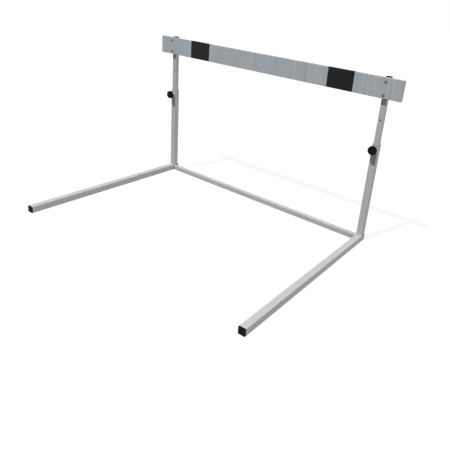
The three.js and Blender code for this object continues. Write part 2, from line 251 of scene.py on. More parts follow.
class Form:
    """Closed solid under construction, kept in bmesh and on the hurdle's own axes."""

    def __init__(self) -> None:
        """Starts with nothing."""
        self.mesh = bmesh.new()

    def skin(self, rings: Sequence[Ring], place: Matrix, looped: bool = False) -> "Form":
        """Adds the surface through a row of rings.

        Args:
            rings: outlines of equal point counts, or poles of one point.
            place: where the rings' own axes lie on the hurdle.
            looped: joins the last ring to the first, as in a tube with a bore.

        Returns:
            The form itself.
        """
        new = self.mesh.verts.new
        rows = [[new(place @ point) for point in ring] for ring in rings]
        pairs = list(zip(rows, rows[1:]))
        if looped:
            pairs.append((rows[-1], rows[0]))
        else:
            for row in (rows[0], rows[-1]):
                if len(row) > 1:
                    self.mesh.faces.new(row)
        for first, second in pairs:
            self._bridge(first, second)
        bmesh.ops.recalc_face_normals(self.mesh, faces=self.mesh.faces)
        return self

    def _bridge(self, first: list[bmesh.types.BMVert], second: list[bmesh.types.BMVert]) -> None:
        """Joins two rows of corners by faces.

        Args:
            first: one row, or a pole of one corner.
            second: the next row, of as many corners, or a pole.
        """
        count = max(len(first), len(second))
        for i in range(count):
            j = (i + 1) % count
            corners = [first[i % len(first)], first[j % len(first)]]
            corners += [second[j % len(second)], second[i % len(second)]]
            self.mesh.faces.new(list(dict.fromkeys(corners)))

    def carve(self, tool: "Form", way: Carving) -> "Form":
        """Joins another form to this one, cuts it away or keeps what they share.

        Args:
            tool: the other form, which is used up.
            way: which of the three.

        Returns:
            The form itself.
        """
        target = self.shape("carved")
        cutter = tool.shape("tool")
        modifier = target.modifiers.new("carving", "BOOLEAN")
        modifier.operation = way.value
        modifier.object = cutter
        modifier.solver = "EXACT"
        seen = target.evaluated_get(bpy.context.evaluated_depsgraph_get())
        carved = bpy.data.meshes.new_from_object(seen)
        self.mesh = bmesh.new()
        self.mesh.from_mesh(carved)
        leftovers = (carved, target.data, cutter.data)
        for worn in (target, cutter):
            bpy.data.objects.remove(worn)
        for mesh in leftovers:
            bpy.data.meshes.remove(mesh)
        return self

    def drill(self, hole: "Drill", entry: Matrix) -> "Form":
        """Cuts a hole, which starts at the origin of its entry and runs along -Z there."""
        return self.carve(hole.form(entry), Carving.CUT)

    def shape(self, name: str) -> bpy.types.Object:
        """Turns the form into an object of the scene.

        Args:
            name: the object's name.

        Returns:
            The object, with its place in its mesh.
        """
        data = bpy.data.meshes.new(name)
        self.mesh.to_mesh(data)
        self.mesh.free()
        made = bpy.data.objects.new(name, data)
        bpy.context.scene.collection.objects.link(made)
        return made


class Wiring:
    """Nodes of a material or of the world, with short calls to add and to link them."""

    def __init__(self, tree: bpy.types.NodeTree) -> None:
        """Empties the tree and starts on it."""
        self.tree = tree
        self.tree.nodes.clear()

    @staticmethod
    def opaque(colour: Colour) -> tuple[float, ...]:
        """The colour with the fourth value that Blender's colour inputs take."""
        return (*colour, 1.0)

    def add(self, kind: str, *first: object, **values: object) -> bpy.types.Node:
        """Adds a node.

        Args:
            kind: Blender's name of the node's type.
            first: its first inputs in their order, as numbers or as sockets.
            values: its inputs, by name with _ for a space, as numbers or as sockets.

        Returns:
            The node.
        """
        node = self.tree.nodes.new(kind)
        named = {name.replace("_", " "): value for name, value in values.items()}
        for name, value in (*enumerate(first), *named.items()):
            self.feed(node, name, value)
        return node

    def feed(self, node: bpy.types.Node, name: str | int, value: object) -> None:
        """Sets one input of a node to a number, or links a socket to it.

        Args:
            node: the node.
            name: the input's name, or its place among the inputs.
            value: the number, or the socket that it comes from.
        """
        if isinstance(value, Socket):
            self.tree.links.new(value, node.inputs[name])
        else:
            node.inputs[name].default_value = value


@dataclass(frozen=True)
class Grain:
    """Cloudy noise: the size of its cells along X, Y and Z, and how many finer layers it has."""

    cells: Place
    layers: float = 1.0

    @classmethod
    def even(cls, cell: float, layers: float = 1.0) -> "Grain":
        """Noise whose cells are as long one way as another."""
        return cls((cell,) * 3, layers)


def lighter(colour: Colour, share: float) -> Colour:
    """A colour with its brightness changed by a share, such as 0.05 or -0.05."""
    return tuple(min(1.0, part * (1 + share)) for part in colour)


class NodeSheet(Wiring):
    """A finish's nodes, with a call for each step that the finishes share."""

    NOISE_SPAN: Span = (0.25, 0.75)    # where most of Blender's noise lies
    MIX_SHARE, MIX_FIRST, MIX_SECOND, MIX_RESULT = 0, 6, 7, 2    # the Mix node's colour sockets

    def __init__(self, name: str) -> None:
        """Starts an empty material.

        Args:
            name: the material's name.
        """
        self.material = bpy.data.materials.new(name)
        self.material.use_nodes = True
        super().__init__(self.material.node_tree)
        self.place = self.add("ShaderNodeTexCoord").outputs["Object"]

    def noise(self, grain: Grain) -> Socket:
        """Makes cloudy noise on the piece's own coordinates.

        Args:
            grain: the noise's cells and layers.

        Returns:
            A value of about 0.5, going from 0 to 1.
        """
        scale = tuple(1 / cell for cell in grain.cells)
        stretched = self.add("ShaderNodeMapping", Vector=self.place, Scale=scale).outputs[0]
        cloud = self.add("ShaderNodeTexNoise", Vector=stretched, Scale=1.0, Detail=grain.layers)
        return cloud.outputs[0]

    def span(self, noise: Socket, result: Span) -> Socket:
        """Spreads the middle of a noise over a range.

        Args:
            noise: the noise.
            result: value where the noise is low, and where it is high.

        Returns:
            The new value.
        """
        below, above = self.NOISE_SPAN
        low, high = result
        ends = {"From_Min": below, "From_Max": above, "To_Min": low, "To_Max": high}
        return self.add("ShaderNodeMapRange", Value=noise, **ends).outputs[0]

    def blend(self, noise: Socket, mixed: Span, first: Colour | Socket, second: Colour) -> Socket:
        """Mixes two colours in clouds.

        Args:
            noise: the clouds.
            mixed: share of the second colour where the noise is low, and where it is high.
            first: a colour or a socket.
            second: a colour.

        Returns:
            The mixed colour.
        """
        share = self.span(noise, mixed)
        node = self.add("ShaderNodeMix")
        node.data_type = "RGBA"
        self.feed(node, self.MIX_SHARE, share)
        self.feed(node, self.MIX_FIRST, self.opaque(first) if isinstance(first, tuple) else first)
        self.feed(node, self.MIX_SECOND, self.opaque(second))
        return node.outputs[self.MIX_RESULT]

    def shaded(self, noise: Socket, colour: Colour, share: float) -> Socket:
        """A colour that a noise makes darker and lighter by a share."""
        return self.blend(noise, WHOLE, lighter(colour, -share), lighter(colour, share))

    def bump(self, noise: Socket, depth: float) -> Socket:
        """The normal of a surface that a noise raises by a depth in metres."""
        return self.add("ShaderNodeBump", Height=noise, Distance=depth, Strength=1.0).outputs[0]

    def finish(self, **values: object) -> bpy.types.Material:
        """Ends the tree in a Principled surface.

        Args:
            values: its inputs, as for add.

        Returns:
            The finished material.
        """
        surface = self.add("ShaderNodeBsdfPrincipled", **values)
        self.add("ShaderNodeOutputMaterial", Surface=surface.outputs[0])
        return self.material


class Finish(ABC):
    """Surface finish of a piece, as a procedural material that is made once."""

    slot: Slot

    def material(self) -> bpy.types.Material:
        """The finish's material, made at its first use."""
        name = type(self).__name__ + self.slot.value
        return bpy.data.materials.get(name) or self.mix(NodeSheet(name))

    @abstractmethod
    def mix(self, sheet: NodeSheet) -> bpy.types.Material:
        """Lays the finish's nodes out.

        Args:
            sheet: an empty sheet for the nodes.

        Returns:
            The finished material.
        """


@dataclass(frozen=True)
class PowderCoat(Finish):
    """Light grey powder coat: satin, with a fine orange peel and soft differences in shade."""

    slot: Slot = Slot.PAINTED_STEEL
    colour: Colour = (0.471, 0.471, 0.471)
    clouds: Grain = Grain.even(0.09, layers=3.0)
    shade_share: float = 0.035
    specks: Grain = Grain.even(0.0004)
    speck_colour: Colour = (0.25, 0.25, 0.25)
    speckled: Span = (0.0, 0.03)
    peel: Grain = Grain.even(0.0013)
    peel_depth: float = 0.00002
    roughness: Span = (0.42, 0.52)
    sheen: float = 0.01

    def mix(self, sheet: NodeSheet) -> bpy.types.Material:
        """Lays out clouded grey with fine specks, on an orange-peel relief.

        Args:
            sheet: an empty sheet for the nodes.

        Returns:
            The finished material.
        """
        clouds = sheet.noise(self.clouds)
        specks = sheet.noise(self.specks)
        peel = sheet.noise(self.peel)
        shaded = sheet.shaded(clouds, self.colour, self.shade_share)
        return sheet.finish(
            Base_Color=sheet.blend(specks, self.speckled, shaded, self.speck_colour),
            Roughness=sheet.span(clouds, self.roughness),
            Specular_IOR_Level=self.sheen,
            Normal=sheet.bump(peel, self.peel_depth),
        )


@dataclass(frozen=True)
class StreakedCoat(Finish):
    """Matt coat with fine streaks that run up and down the board."""

    slot: Slot = Slot.BOARD_GREY
    colour: Colour = (0.477, 0.513, 0.538)
    shades: Grain = Grain((0.045, 0.2, 0.3), layers=2.0)
    shade_share: float = 0.06
    streaks: Grain = Grain((0.006, 0.03, 0.1), layers=3.0)
    streaked: Span = (0.0, 0.5)
    streak_fall_share: float = 0.48
    hairlines: Grain = Grain((0.0008, 0.01, 0.035), layers=2.0)
    hairlined: Span = (0.0, 0.25)
    hairline_depth: float = 0.00002
    roughness: Span = (0.5, 0.62)
    sheen: float = 0.12

    def mix(self, sheet: NodeSheet) -> bpy.types.Material:
        """Lays out soft shades, under streaks, under hairlines that also stand up a little.

        Args:
            sheet: an empty sheet for the nodes.

        Returns:
            The finished material.
        """
        shades = sheet.noise(self.shades)
        streaks = sheet.noise(self.streaks)
        hairlines = sheet.noise(self.hairlines)
        darker = lighter(self.colour, -self.streak_fall_share)
        broad = sheet.shaded(shades, self.colour, self.shade_share)
        streaked = sheet.blend(streaks, self.streaked, broad, darker)
        return sheet.finish(
            Base_Color=sheet.blend(hairlines, self.hairlined, streaked, darker),
            Roughness=sheet.span(streaks, self.roughness),
            Specular_IOR_Level=self.sheen,
            Normal=sheet.bump(hairlines, self.hairline_depth),
        )


@dataclass(frozen=True)
class PatchedFinish(Finish):
    """Finish whose colour and gloss change in soft patches, on a fine relief."""

    slot: Slot
    colour: Colour
    patches: Grain
    patch_colour: Colour
    patched: Span
    grain: Grain
    relief: float
    roughness: Span
    sheen: float = 0.5
    metallic: float = 0.0

    def mix(self, sheet: NodeSheet) -> bpy.types.Material:
        """Lays out the colour and its patches, which are rougher, on the relief.

        Args:
            sheet: an empty sheet for the nodes.

        Returns:
            The finished material.
        """
        patches = sheet.noise(self.patches)
        grain = sheet.noise(self.grain)
        return sheet.finish(
            Base_Color=sheet.blend(patches, self.patched, self.colour, self.patch_colour),
            Metallic=self.metallic,
            Roughness=sheet.span(patches, self.roughness),
            Specular_IOR_Level=self.sheen,
            Normal=sheet.bump(grain, self.relief),
        )


@dataclass(frozen=True)
class MouldedPlastic(PatchedFinish):
    """Black moulded plastic: a pale bloom in patches, on a fine eroded grain with a dull sheen."""

    slot: Slot = Slot.BLACK_PLASTIC
    colour: Colour = (0.007, 0.007, 0.0074)
    patches: Grain = Grain.even(0.012, layers=4.0)
    patch_colour: Colour = (0.0105, 0.0105, 0.0111)
    patched: Span = WHOLE
    grain: Grain = Grain.even(0.00045)
    relief: float = 0.00003
    roughness: Span = (0.46, 0.6)
    sheen: float = 0.035


@dataclass(frozen=True)
class ZincPlate(PatchedFinish):
    """Bright zinc on steel: a faint crystal pattern, with a dulled patch here and there."""

    slot: Slot = Slot.FASTENER_STEEL
    colour: Colour = (0.56, 0.57, 0.59)
    patches: Grain = Grain.even(0.004, layers=3.0)
    patch_colour: Colour = (0.40, 0.40, 0.41)
    patched: Span = (0.0, 0.8)
    grain: Grain = Grain.even(0.0009)
    relief: float = 0.00001
    roughness: Span = (0.28, 0.45)
    metallic: float = 1.0


@dataclass(frozen=True)
class DarkCoatAndPaintedReflection(PatchedFinish):
    """Dull dark grey coat on steel, worn a little paler in spots; its darkness is partly painted
    reflection, the dark surround that a bright metal head would mirror.
    """

    slot: Slot = Slot.DARK_STEEL
    # colour kept dark partly as painted reflection, standing in for the dark surround mirrored by
    # the bolt heads
    colour: Colour = (0.09, 0.09, 0.094)
    patches: Grain = Grain.even(0.0025, layers=3.0)
    patch_colour: Colour = (0.17, 0.17, 0.17)
    patched: Span = (0.0, 0.35)
    grain: Grain = Grain.even(0.0006)
    relief: float = 0.000008
    roughness: Span = (0.26, 0.36)
    sheen: float = 0.8


@dataclass
class Piece:
    """One physical piece of the hurdle, shaped and ready to be dressed."""

    name: str
    form: Form
    finish: Finish
    body: str
    stands_for: tuple[str, ...] = ()
    sharp_angle: float = math.radians(38)

    @classmethod
    def of(cls, node: str, made: str, form: Form, finish: Finish, body: str) -> "Piece":
        """A piece that stands for one solid of the frame and is named after it."""
        return cls(f"{node}_{made}", form, finish, body, (node,))

    def dress(self) -> None:
        """Makes the piece's object, smooths and coats it, and seats it on its body."""
        made = self.form.shape(self.name)
        self._smooth(made)
        made.data.materials.append(self.finish.material())
        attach(made, self.body)
        if self.stands_for:
            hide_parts(*self.stands_for)
        faces = len(made.data.polygons)
        LOG.info("%s: %d faces, %s, on %s", self.name, faces, self.finish.slot.value, self.body)

    def _smooth(self, made: bpy.types.Object) -> None:
        """Shades round stretches smooth, and keeps flats flat and edges crisp.

        Args:
            made: the piece's object.
        """
        made.data.shade_smooth()
        made.data.set_sharp_from_angle(angle=self.sharp_angle)
        weighted = made.modifiers.new("flat_faces_stay_flat", "WEIGHTED_NORMAL")
        weighted.keep_sharp = True


class SubAssembly(ABC):
    """Group of pieces that belong together on the hurdle."""

    @abstractmethod
    def pieces(self) -> Iterator[Piece]:
        """The group's pieces, one after another."""

    def build(self) -> None:
        """Makes and dresses every piece of the group."""
        for piece in self.pieces():
            piece.dress()


@dataclass(frozen=True)
class SquareTube:
    """Length of square tube, sawn square, with the burr taken off its outer edges."""

    size: float
    wall: float
    corner: float
    length: float
    burr: float = 0.0003

    def form(self, place: Matrix) -> Form:
        """Makes the tube along its own Z axis, from its origin.

        Args:
            place: where the tube's own axes lie on the hurdle.

        Returns:
            The tube as a form.
        """
        bore = self.size - 2 * self.wall
        bore_corner = self.corner * bore / self.size * (1 - self.wall / self.size)
        eased = self.size - 2 * self.burr
        sections = (
            (bore, bore_corner, 0.0),
            (eased, self.corner, 0.0),
            (self.size, self.corner, self.burr),
            (self.size, self.corner, self.length - self.burr),
            (eased, self.corner, self.length),
            (bore, bore_corner, self.length),
        )
        rings = [Outline.square(*section) for section in sections]
        return Form().skin(rings, place, looped=True)


@dataclass(frozen=True)
class Drill:
    """Round cutter for a hole, flared a little where it enters, as paint leaves a hole's rim."""

    diameter: float
    depth: float
    flare: float = 0.0004
    points: int = 40
    overrun: float = 0.001

    def form(self, entry: Matrix) -> Form:
        """Makes the cutter, which cuts along its own -Z.

        Args:
            entry: its own axes on the hurdle, with their origin on the face that is drilled.

        Returns:
            The cutter as a form.
        """
        radius = self.diameter / 2
        mouth = radius + self.flare
        profile = (
            (radius, -self.depth),
            (radius, -self.flare),
            (mouth, 0.0),
            (mouth, self.overrun),
        )
        return Form().skin(Outline.turned(profile, self.points), entry)


@dataclass(frozen=True)
class ScrewThread:
    """Rolled thread, whose crest and root wind round the shank."""

    diameter: float
    pitch: float
    depth: float
    rings_per_turn: int = 10
    flat_share: float = 0.2

    def rings(self, start: float, stop: float, points: int) -> Iterator[Ring]:
        """Winds the thread.

        Args:
            start: height where it begins.
            stop: height where it ends.
            points: of each ring.

        Yields:
            Rings whose radius follows the helix, running out at both ends.
        """
        count = math.ceil((stop - start) / self.pitch * self.rings_per_turn)
        for step in range(count + 1):
            z = start + (stop - start) * step / count
            runout = min(1.0, (z - start) / self.pitch, (stop - z) / self.pitch)
            ring = []
            for i in range(points):
                angle = FULL_TURN * i / points
                from_crest = abs((z / self.pitch - i / points) % 1.0 - 0.5) * 2
                fall = (from_crest - self.flat_share) / (1 - 2 * self.flat_share)
                radius = self.diameter / 2 - self.depth * runout * min(1.0, max(0.0, fall))
                ring.append(Vector((radius * math.cos(angle), radius * math.sin(angle), z)))
            yield ring


@dataclass(frozen=True)
class WeldBead:
    """Bead of weld with its ripples, painted over with the tubes that it joins."""

    radius: float = 0.0017
    ripple: float = 0.0021
    ripple_share: float = 0.16
    steps_per_ripple: int = 4
    points: int = 12

    def form(self, path: Sequence[Vector], closed: bool) -> Form:
        """Lays the bead along a path.

        Args:
            path: corners of the seam, on the hurdle's axes.
            closed: joins the path's end to its start.

        Returns:
            The bead as a form; open ends taper to a point.
        """
        line = self._walk(path, closed)
        rings = []
        for index, (point, along) in enumerate(line):
            ripple = abs(math.sin(math.pi * index / self.steps_per_ripple))
            radius = self.radius * (1 - self.ripple_share * (1 - ripple))
            turn = along.to_track_quat("Z", "Y").to_matrix()
            circle = Outline.circle(radius, 0, self.points)
            rings.append([point + turn @ spoke for spoke in circle])
        if not closed:
            rings[0] = [line[0][0]]
            rings[-1] = [line[-1][0]]
        return Form().skin(rings, Matrix.Identity(4), looped=closed)

    def _walk(self, path: Sequence[Vector], closed: bool) -> list[tuple[Vector, Vector]]:
        """Goes along a path at even steps.

        Args:
            path: the path's corners.
            closed: joins the path's end to its start.

        Returns:
            The point at each step, with the direction of travel there.
        """
        corners = [*path, path[0]] if closed else list(path)
        legs = [(b - a).length for a, b in zip(corners, corners[1:])]
        ripples = max(1, round(sum(legs) / self.ripple))
        count = ripples * self.steps_per_ripple
        step = sum(legs) / count
        places = []
        for index in range(count if closed else count + 1):
            left = index * step
            leg = 0
            while leg < len(legs) - 1 and left > legs[leg]:
                left -= legs[leg]
                leg += 1
            share = left / legs[leg] if legs[leg] else 0.0
            places.append(corners[leg].lerp(corners[leg + 1], min(1.0, share)))
        line = []
        last = len(places) - 1
        for index, point in enumerate(places):
            before = places[index - 1] if closed or index else point
            after = places[(index + 1) % len(places)] if closed or index < last else point
            line.append((point, (after - before).normalized()))
        return line


@dataclass(frozen=True)
class Plug:
    """Plastic plug for a square tube: a head over the end and a hollow ribbed stem in the bore."""

    head: float
    corner: float
    head_depth: float
    bore: float
    stem_length: float
    crown: float = 0.0
    edge: float = 0.0008
    dimple_share: float = 0.62
    dimple_depth: float = 0.0007
    stem_wall: float = 0.002
    rib_count: int = 3
    rib: float = 0.0012
    rib_reach: float = 0.0018
    stem_gap: float = 0.0003
    steps: int = 8

    def form(self, place: Matrix) -> Form:
        """The plug as a form; its own origin is at the tube's end, and +Z points out."""
        face = self._crown_rings() if self.crown else self._face_rings()
        return Form().skin([*self._stem_rings(), *face], place)

    def _stem_rings(self) -> Iterator[Ring]:
        """Goes round the stem.

        Yields:
            Rings from the floor of the hollow, out over the stem's end and up past its ribs.
        """
        ribbed = self.bore - 2 * self.stem_gap
        core = ribbed - 2 * self.rib_reach
        hollow = core - 2 * self.stem_wall
        yield Outline.square(hollow, self.edge / 2, -self.stem_wall)
        yield Outline.square(hollow, self.edge / 2, -self.stem_length)
        yield Outline.square(core - self.edge, self.edge / 2, -self.stem_length)
        yield Outline.square(core, self.edge, self.edge / 2 - self.stem_length)
        pitch = self.stem_length / (self.rib_count + 1)
        for number in range(1, self.rib_count + 1):
            middle = number * pitch - self.stem_length
            foot, top = middle - self.rib / 2, middle + self.rib / 2
            for width, z in ((core, foot), (ribbed, middle), (ribbed, top), (core, top)):
                yield Outline.square(width, self.edge, z)
        yield Outline.square(core, self.edge, 0)
        yield Outline.square(self.head, self.corner, 0)

    def _face_rings(self) -> Iterator[Ring]:
        """Goes over a flat head.

        Yields:
            Rings round its rolled edge, over its rim and down into the dimple.
        """
        for rise, reach in quarter_arc(self.steps):
            width = self.head - 2 * self.edge * (1 - reach)
            yield Outline.square(width, self.corner, self.head_depth - self.edge * (1 - rise))
        dimple = self.head * self.dimple_share
        for step in range(self.steps + 1):
            share = step / self.steps
            width = dimple - 2 * self.dimple_depth * share
            z = self.head_depth - self.dimple_depth * ease(share)
            yield Outline.square(width, self.corner, z)

    def _crown_rings(self) -> Iterator[Ring]:
        """Goes over a crowned head.

        Yields:
            Rings over a low dome, up to the last one short of its middle.
        """
        for rise, reach in list(quarter_arc(2 * self.steps))[:-1]:
            width = self.head * math.sqrt(reach)
            z = self.head_depth - self.crown * (1 - rise)
            yield Outline.square(width, self.corner * width / self.head, z)


@dataclass(frozen=True)
class HexagonNut:
    """Hexagon nut with its corners turned down at both ends, and a plain bore."""

    across: float
    thickness: float
    bore: float
    turned_share: float = 0.5
    points: int = 72

    def form(self, axes: Matrix) -> Form:
        """Makes the nut, which starts at its own origin and runs along +Z.

        Args:
            axes: where the nut's own axes lie on the hurdle.

        Returns:
            The nut as a form.
        """
        flat = self.across / 2
        corner = self.across / math.sqrt(3)
        drop = (corner - flat) * self.turned_share
        profile = (
            (flat, 0.0),
            (corner, drop),
            (corner, self.thickness - drop),
            (flat, self.thickness),
        )
        blank = [Outline.hexagon(self.across, z) for z in (0, self.thickness)]
        form = Form().skin(blank, axes)
        form.carve(Form().skin(Outline.turned(profile, self.points), axes), Carving.COMMON)
        hole = Drill(self.bore, self.thickness + drop, flare=drop / 2)
        return form.drill(hole, axes @ Matrix.Translation((0, 0, self.thickness)))


@dataclass
class Base(SubAssembly):
    """Welded base: two legs on the floor, a cross tube between them and an outer post on each."""

    paint: Finish
    plastic: Finish
    wall: float = 0.002
    corner: float = 0.0008
    cross_wall: float = 0.0015
    cross_corner: float = 0.0008
    stud_hole: float = 0.0086
    stud_hole_flare: float = 0.00025
    stem_length: float = 0.016
    weld_sink: float = 0.0008
    weld_floor_gap: float = 0.0025
    bead: WeldBead = WeldBead()

    def pieces(self) -> Iterator[Piece]:
        """Makes the base's pieces.

        Yields:
            The cross tube, and each side's leg, outer post, welds and leg plugs.
        """
        yield self.cross_tube()
        for side in Side:
            yield self.leg(side)
            yield self.outer_post(side)
            yield self.post_weld(side)
            yield self.cross_tube_weld(side)
            yield self.leg_plug(side, Facing.FRONT)
            yield self.leg_plug(side, Facing.REAR)

    def _painted(self, node: str, form: Form) -> Piece:
        """A painted piece of the base, for one solid of the frame."""
        return Piece.of(node, "painted", form, self.paint, Body.BASE.value)

    def cross_tube(self) -> Piece:
        """Makes the smaller tube on the floor, between the legs.

        Returns:
            The tube.
        """
        room = Room.of("cross_tube")
        tube = SquareTube(room.size.z, self.cross_wall, self.cross_corner, room.size.x)
        return self._painted("cross_tube", tube.form(room.seat(Facing.RIGHT, room.low.x)))

    def leg(self, side: Side) -> Piece:
        """Makes one of the two long tubes on the floor.

        Args:
            side: the leg's side of the hurdle.

        Returns:
            The leg.
        """
        node = side.of("leg")
        room = Room.of(node)
        tube = SquareTube(room.size.z, self.wall, self.corner, room.size.y)
        return self._painted(node, tube.form(room.seat(Facing.REAR, room.low.y)))

    def outer_post(self, side: Side) -> Piece:
        """Makes the upright that the inner post slides in, with the clamp's hole in its front.

        Args:
            side: the post's side of the hurdle.

        Returns:
            The post.
        """
        node = side.of("outer_post")
        room = Room.of(node)
        clamp_z = Room.of(side.of("weld_nut")).centre.z
        tube = SquareTube(room.size.x, self.wall, self.corner, room.size.z)
        form = tube.form(room.seat(Facing.UP, room.low.z))
        hole = Drill(self.stud_hole, 2 * self.wall, flare=self.stud_hole_flare)
        form.drill(hole, Facing.FRONT.at((room.centre.x, room.low.y, clamp_z)))
        return self._painted(node, form)

    def post_weld(self, side: Side) -> Piece:
        """Makes the bead all round an outer post's foot.

        Args:
            side: the post's side of the hurdle.

        Returns:
            The bead.
        """
        room = Room.of(side.of("outer_post"))
        ring = Outline.square(room.size.x - 2 * self.weld_sink, self.corner, 0)
        place = room.seat(Facing.UP, room.low.z)
        form = self.bead.form([place @ point for point in ring], closed=True)
        return Piece(side.of("post_weld"), form, self.paint, Body.BASE.value)

    def cross_tube_weld(self, side: Side) -> Piece:
        """Makes the bead up, over and down the cross tube where it meets a leg.

        Args:
            side: the leg's side of the hurdle.

        Returns:
            The bead.
        """
        room = Room.of("cross_tube")
        end = room.high.x if side is Side.RIGHT else room.low.x
        ring = Outline.square(room.size.z, self.cross_corner, 0)
        place = room.seat(Facing.RIGHT, end)
        upper = [place @ point for point in ring[: len(ring) // 2]]
        start, stop = (Vector((end, y, self.weld_floor_gap)) for y in (room.high.y, room.low.y))
        form = self.bead.form([start, *upper, stop], closed=False)
        return Piece(side.of("cross_tube_weld"), form, self.paint, Body.BASE.value)

    def leg_plug(self, side: Side, facing: Facing) -> Piece:
        """Makes the plug in one end of a leg.

        Args:
            side: the leg's side of the hurdle.
            facing: way that the end faces, to the front or to the rear.

        Returns:
            The plug.
        """
        front = facing is Facing.FRONT
        node = side.of("front_leg_plug" if front else "rear_leg_plug")
        leg = Room.of(side.of("leg"))
        room = Room.of(node)
        mouth, face = (leg.low.y, room.low.y) if front else (leg.high.y, room.high.y)
        plug = Plug(
            head=leg.size.z,
            corner=self.corner,
            head_depth=abs(face - mouth),
            bore=leg.size.z - 2 * self.wall,
            stem_length=self.stem_length,
        )
        form = plug.form(leg.seat(facing, mouth))
        return Piece.of(node, "moulded", form, self.plastic, Body.BASE.value)


@dataclass
class Carriage(SubAssembly):
    """What is raised and lowered: the inner posts and their plugs, the board and its bands."""

    paint: Finish
    board_coat: Finish
    film: Finish
    plastic: Finish
    wall: float = 0.0015
    corner: float = 0.0008
    board_edge: float = 0.0015
    board_end_chamfer: float = 0.0006
    film_lift: float = 0.00002
    index_hole: float = 0.007
    index_step: float = 0.11
    settings: int = 3
    bolt_hole: float = 0.0066
    guide_length: float = 0.016

    def pieces(self) -> Iterator[Piece]:
        """Makes the carriage's pieces.

        Yields:
            The board, and each side's band, inner post and plugs.
        """
        yield self._riding("crossboard", "coated", self.crossboard(), self.board_coat)
        for side in Side:
            for name, made, make, finish in (
                ("band", "film", self.band, self.film),
                ("inner_post", "painted", self.inner_post, self.paint),
                ("top_plug", "moulded", self.top_plug, self.plastic),
                ("guide_plug", "moulded", self.guide_plug, self.plastic),
            ):
                yield self._riding(side.of(name), made, make(side), finish)

    @staticmethod
    def _riding(node: str, made: str, form: Form, finish: Finish) -> Piece:
        """A piece of the carriage, for one solid of the frame."""
        return Piece.of(node, made, form, finish, Body.CARRIAGE.value)

    def crossboard(self) -> Form:
        """Makes the board, with its edges rounded and its four bolt holes.

        Returns:
            The board as a form.
        """
        room = Room.of("crossboard")
        chamfer = self.board_end_chamfer
        length = room.size.x
        rings = []
        for inset, x in ((chamfer, 0), (0, chamfer), (0, length - chamfer), (chamfer, length)):
            width = room.size.y - 2 * inset
            height = room.size.z - 2 * inset
            rings.append(Outline.rectangle(width, height, self.board_edge, x))
        form = Form().skin(rings, room.seat(Facing.RIGHT, room.low.x))
        hole = Drill(self.bolt_hole, room.size.y + self.bolt_hole)
        for side in Side:
            for level in Level:
                bolt = Room.of(side.of(f"{level.value}_bolt"))
                form.drill(hole, bolt.seat(Facing.FRONT, room.low.y))
        return form

    def band(self, side: Side) -> Form:
        """Makes a dark band of film, wrapped round the board.

        Args:
            side: the band's side of the hurdle.

        Returns:
            The band as a form.
        """
        room = Room.of(side.of("band"))
        board = Room.of("crossboard")
        lift = self.film_lift
        film = (room.size.z - board.size.z) / 2
        outer = (room.size.y, room.size.z, self.board_edge + film)
        inner = (board.size.y + 2 * lift, board.size.z + 2 * lift, self.board_edge + lift)
        length = room.size.x
        order = ((inner, 0), (outer, 0), (outer, length), (inner, length))
        rings = [Outline.rectangle(*outline, x) for outline, x in order]
        return Form().skin(rings, room.seat(Facing.RIGHT, room.low.x), looped=True)

    def inner_post(self, side: Side) -> Form:
        """Makes the sliding tube, with a hole for each height and the bolt holes through it.

        Args:
            side: the post's side of the hurdle.

        Returns:
            The post as a form.
        """
        room = Room.of(side.of("inner_post"))
        clamp_z = Room.of(side.of("weld_nut")).centre.z
        tube = SquareTube(room.size.x, self.wall, self.corner, room.size.z)
        form = tube.form(room.seat(Facing.UP, room.low.z))
        index = Drill(self.index_hole, 2 * self.wall)
        through = Drill(self.bolt_hole, room.size.y + self.bolt_hole)
        middle = (self.settings - 1) / 2
        holes = [
            (index, clamp_z + (setting - middle) * self.index_step)
            for setting in range(self.settings)
        ]
        holes += [(through, Room.of(side.of(f"{level.value}_bolt")).centre.z) for level in Level]
        for hole, z in holes:
            form.drill(hole, Facing.FRONT.at((room.centre.x, room.low.y, z)))
        return form

    def top_plug(self, side: Side) -> Form:
        """Makes the crowned plug in the top of an inner post.

        Args:
            side: the post's side of the hurdle.

        Returns:
            The plug as a form.
        """
        room = Room.of(side.of("top_plug"))
        post = Room.of(side.of("inner_post"))
        head_depth = room.high.z - post.high.z
        plug = Plug(
            head=post.size.x,
            corner=self.corner,
            head_depth=head_depth,
            bore=post.size.x - 2 * self.wall,
            stem_length=post.high.z - room.low.z,
            crown=head_depth / 2,
        )
        return plug.form(post.seat(Facing.UP, post.high.z))

    def guide_plug(self, side: Side) -> Form:
        """Makes the guide in an inner post's lower end, which runs in the outer post.

        Args:
            side: the post's side of the hurdle.

        Returns:
            The guide as a form.
        """
        room = Room.of(side.of("guide_plug"))
        post = Room.of(side.of("inner_post"))
        plug = Plug(
            head=room.size.x,
            corner=self.corner,
            head_depth=post.low.z - room.low.z,
            bore=post.size.x - 2 * self.wall,
            stem_length=self.guide_length,
        )
        return plug.form(post.seat(Facing.DOWN, post.low.z))


